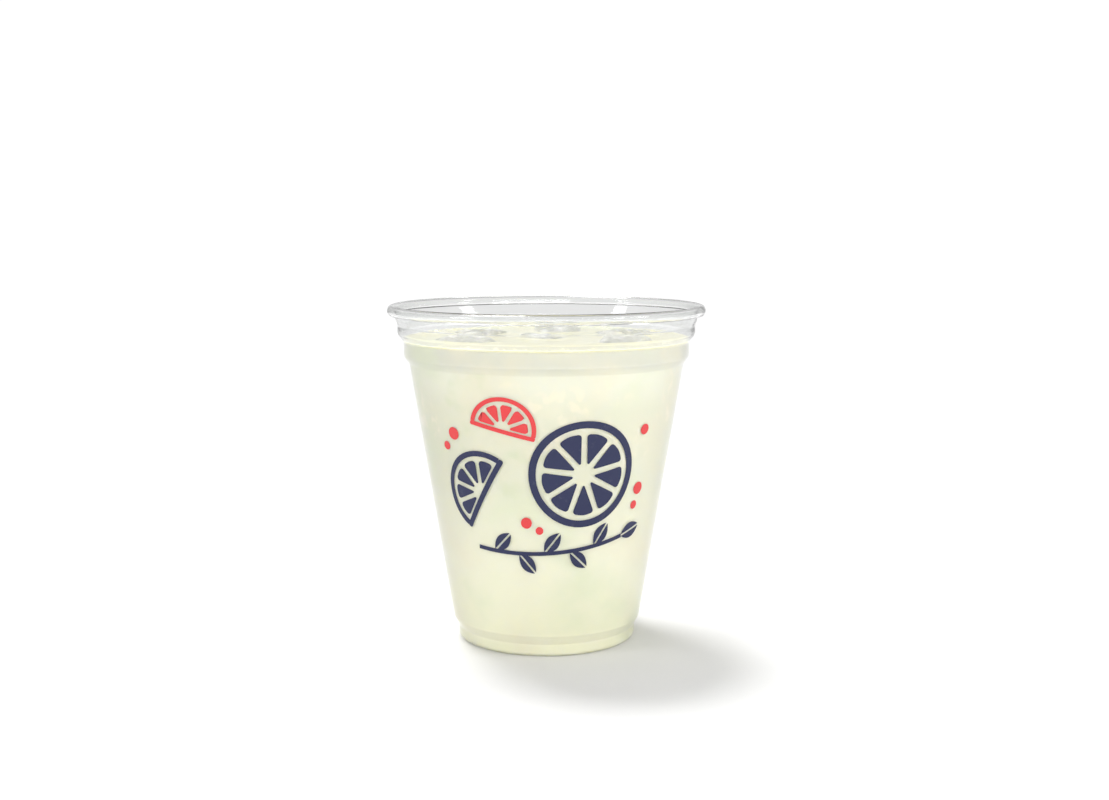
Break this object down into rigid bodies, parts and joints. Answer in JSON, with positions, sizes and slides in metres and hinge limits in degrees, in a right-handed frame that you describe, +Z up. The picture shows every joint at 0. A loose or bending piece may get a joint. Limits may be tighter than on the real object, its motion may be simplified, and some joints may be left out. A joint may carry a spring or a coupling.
{
  "type": "cup of lemonade",
  "caption": "Clear tapered cold cup with a rolled rim, filled with cloudy pale lemonade and floating ice cubes.",
  "frame": {"origin": "centre of the cup's foot, on the surface that it stands on", "axes": "+Z up along the cup's axis; +Y away from the viewer of the picture; +X to the viewer's right"},
  "size_m": [0.098, 0.098, 0.104],
  "materials": {
    "clear_plastic": "clear and glossy",
    "lemonade": "cloudy liquid",
    "ice": "wet, partly frosted ice",
    "navy_print": "flat printed ink",
    "red_print": "flat printed ink"
  },
  "bodies": {
    "root": {"cup": "clear_plastic", "lemonade": "lemonade", "ice_1": "ice", "ice_2": "ice", "ice_3": "ice", "ice_4": "ice", "ice_5": "ice", "ice_6": "ice"}
  },
  "joints": []
}
